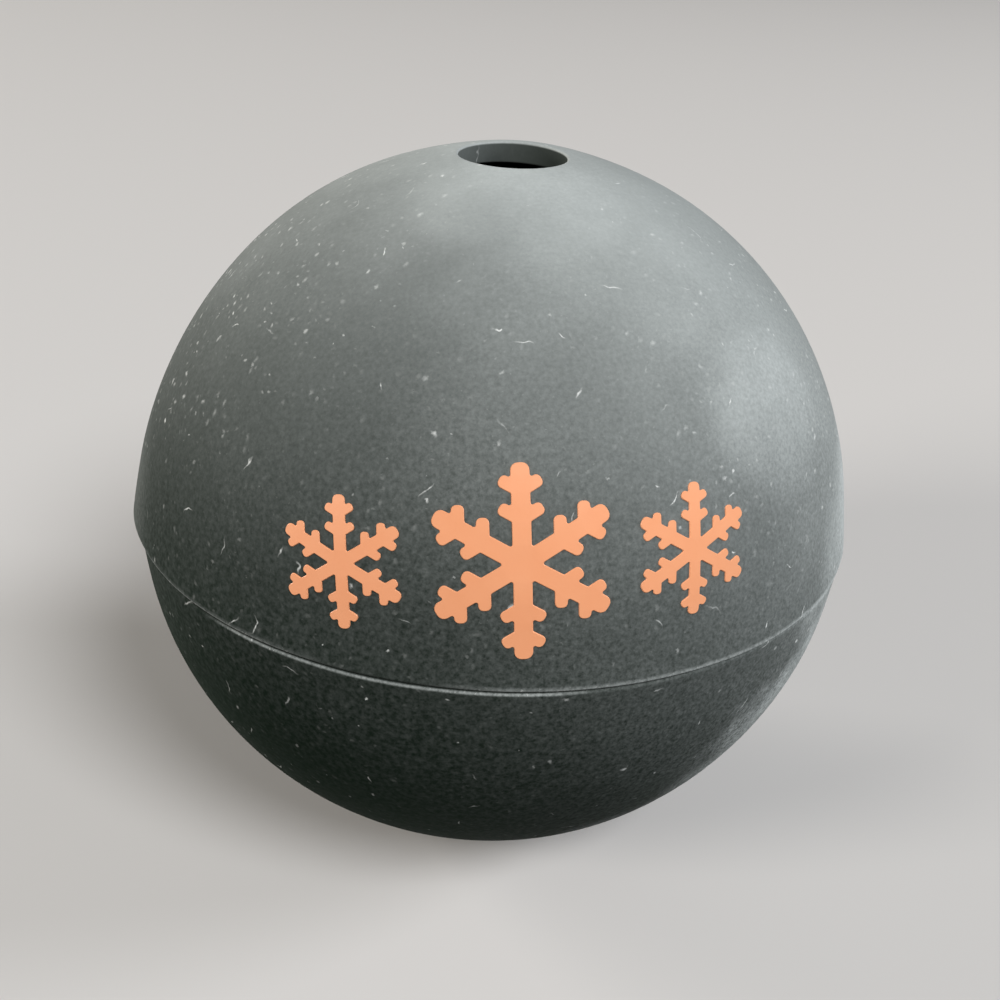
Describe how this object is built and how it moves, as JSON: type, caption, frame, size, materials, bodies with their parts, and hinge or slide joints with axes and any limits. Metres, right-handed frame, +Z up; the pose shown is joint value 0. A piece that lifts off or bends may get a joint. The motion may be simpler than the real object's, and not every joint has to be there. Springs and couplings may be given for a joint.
{
  "type": "ice ball mold",
  "caption": "Round silicone ice ball mold in two half shells that close on a stepped rim, with a fill hole in the top and a small flat to stand on.",
  "frame": {"origin": "centre of the flat that the mold stands on", "axes": "+Z up along the ball's axis, out of the fill hole; -Y towards the printed front"},
  "size_m": [0.0678, 0.0678, 0.0659],
  "materials": {
    "silicone": "matte, moulded",
    "print_ink": "satin, printed"
  },
  "bodies": {
    "lower": {"lower_half": "silicone"},
    "upper": {"upper_half": "silicone"}
  },
  "joints": [
    {"name": "upper_half_lift", "type": "slide", "parent": "lower", "child": "upper", "axis": [0, 0, 1], "range_m": [0, 0.08]}
  ]
}
